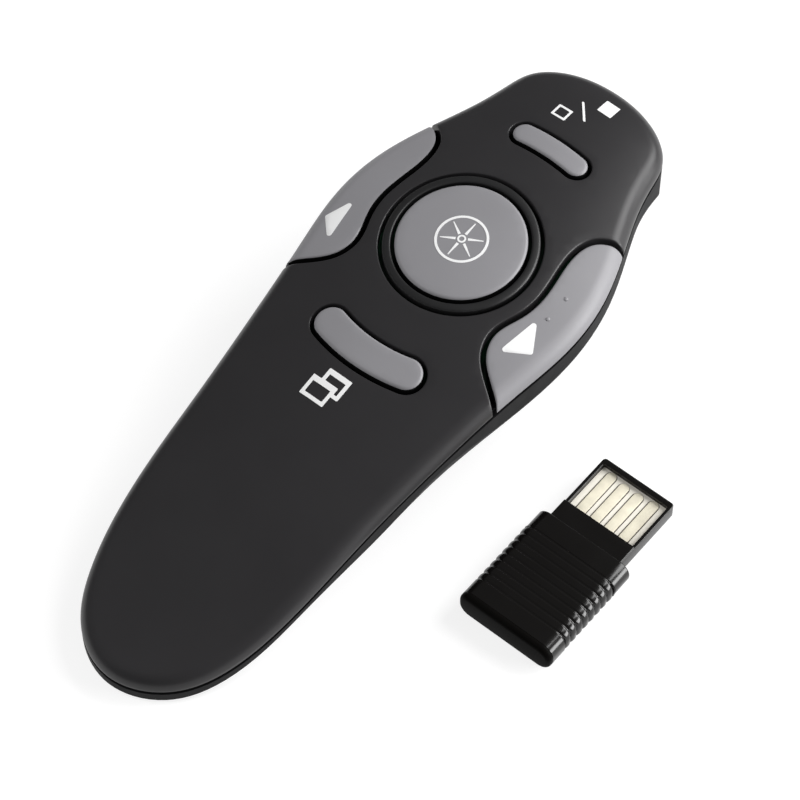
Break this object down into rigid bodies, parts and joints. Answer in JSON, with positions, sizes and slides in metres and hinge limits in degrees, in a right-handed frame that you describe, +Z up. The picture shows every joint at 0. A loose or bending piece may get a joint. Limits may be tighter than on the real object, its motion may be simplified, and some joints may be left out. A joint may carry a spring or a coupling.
{
  "type": "wireless presentation clicker",
  "caption": "Arched handheld presentation remote in soft black with grey buttons, battery door and laser window, and its USB receiver lying beside it.",
  "frame": {"origin": "on the resting plane, under the centre of the big round button", "axes": "+Y to the nose with the laser window, +X to the right seen from above, +Z up"},
  "size_m": [0.0642, 0.1086, 0.0231],
  "materials": {
    "soft_black": "soft-touch satin black",
    "button_grey": "fine satin grey",
    "ring_black": "satin black",
    "receiver_black": "polished black",
    "tongue_cream": "pale board",
    "contact_gold": "gold plated",
    "board_green": "solder mask",
    "chip_black": "moulded",
    "bright_metal": "bright plated",
    "spring_steel": "plated spring steel",
    "laser_brass": "turned brass",
    "clear": "clear pane",
    "cell_jacket": "shrink sleeve over a steel can",
    "screw_black": "black zinc"
  },
  "bodies": {
    "housing": {"top_cover": "soft_black", "bottom_shell": "soft_black", "button_ring": "ring_black", "circuit_board": "board_green", "switch_bodies": "chip_black", "radio_chip": "chip_black", "board_crystal": "bright_metal", "power_switch_body": "bright_metal", "laser_barrel": "laser_brass", "laser_lens": "clear", "laser_diode": "laser_brass", "laser_driver_board": "board_green", "laser_window": "clear", "battery_left": "cell_jacket", "battery_right": "cell_jacket", "battery_springs": "spring_steel", "battery_bridge": "spring_steel", "battery_tabs": "spring_steel", "cover_screws": "screw_black"},
    "laser_button_body": {"laser_button": "button_grey", "laser_plunger": "button_grey"},
    "page_back_body": {"page_back_button": "button_grey", "page_back_plunger": "button_grey"},
    "page_forward_body": {"page_forward_button": "button_grey", "page_forward_plunger": "button_grey"},
    "blank_body": {"blank_button": "button_grey", "blank_plunger": "button_grey"},
    "window_body": {"window_button": "button_grey", "window_plunger": "button_grey"},
    "power_knob_body": {"power_switch_knob": "ring_black"},
    "battery_door_body": {"battery_door": "soft_black"},
    "receiver_body": {"receiver_shell": "receiver_black", "receiver_end_cap": "receiver_black", "receiver_plug_tray": "receiver_black", "receiver_tongue": "tongue_cream", "receiver_contacts": "contact_gold", "receiver_board": "board_green"}
  },
  "joints": [
    {"name": "laser_button_press", "type": "slide", "parent": "housing", "child": "laser_button_body", "axis": [0, 0.1011, -0.9949], "range_m": [0, 0.0003], "stiffness_N_per_m": 500, "springref_m": -0.0002},
    {"name": "page_back_press", "type": "slide", "parent": "housing", "child": "page_back_body", "axis": [0, 0.1011, -0.9949], "range_m": [0, 0.0003], "stiffness_N_per_m": 500, "springref_m": -0.0002},
    {"name": "page_forward_press", "type": "slide", "parent": "housing", "child": "page_forward_body", "axis": [0, 0.1011, -0.9949], "range_m": [0, 0.0003], "stiffness_N_per_m": 500, "springref_m": -0.0002},
    {"name": "blank_press", "type": "slide", "parent": "housing", "child": "blank_body", "axis": [0, 0.1011, -0.9949], "range_m": [0, 0.0003], "stiffness_N_per_m": 500, "springref_m": -0.0002},
    {"name": "window_press", "type": "slide", "parent": "housing", "child": "window_body", "axis": [0, 0.1011, -0.9949], "range_m": [0, 0.0003], "stiffness_N_per_m": 500, "springref_m": -0.0002},
    {"name": "power_slide", "type": "slide", "parent": "housing", "child": "power_knob_body", "axis": [0, 0.9949, 0.1011], "range_m": [-0.0011, 0.0011]},
    {"name": "battery_door_swing", "type": "hinge", "parent": "housing", "child": "battery_door_body", "pos_m": [0, 0.0132, 0], "axis": [1, 0, 0], "range_deg": [0, 50]},
    {"name": "receiver_lift", "type": "slide", "parent": "housing", "child": "receiver_body", "axis": [0, 0, 1], "range_m": [0, 0.05]}
  ]
}
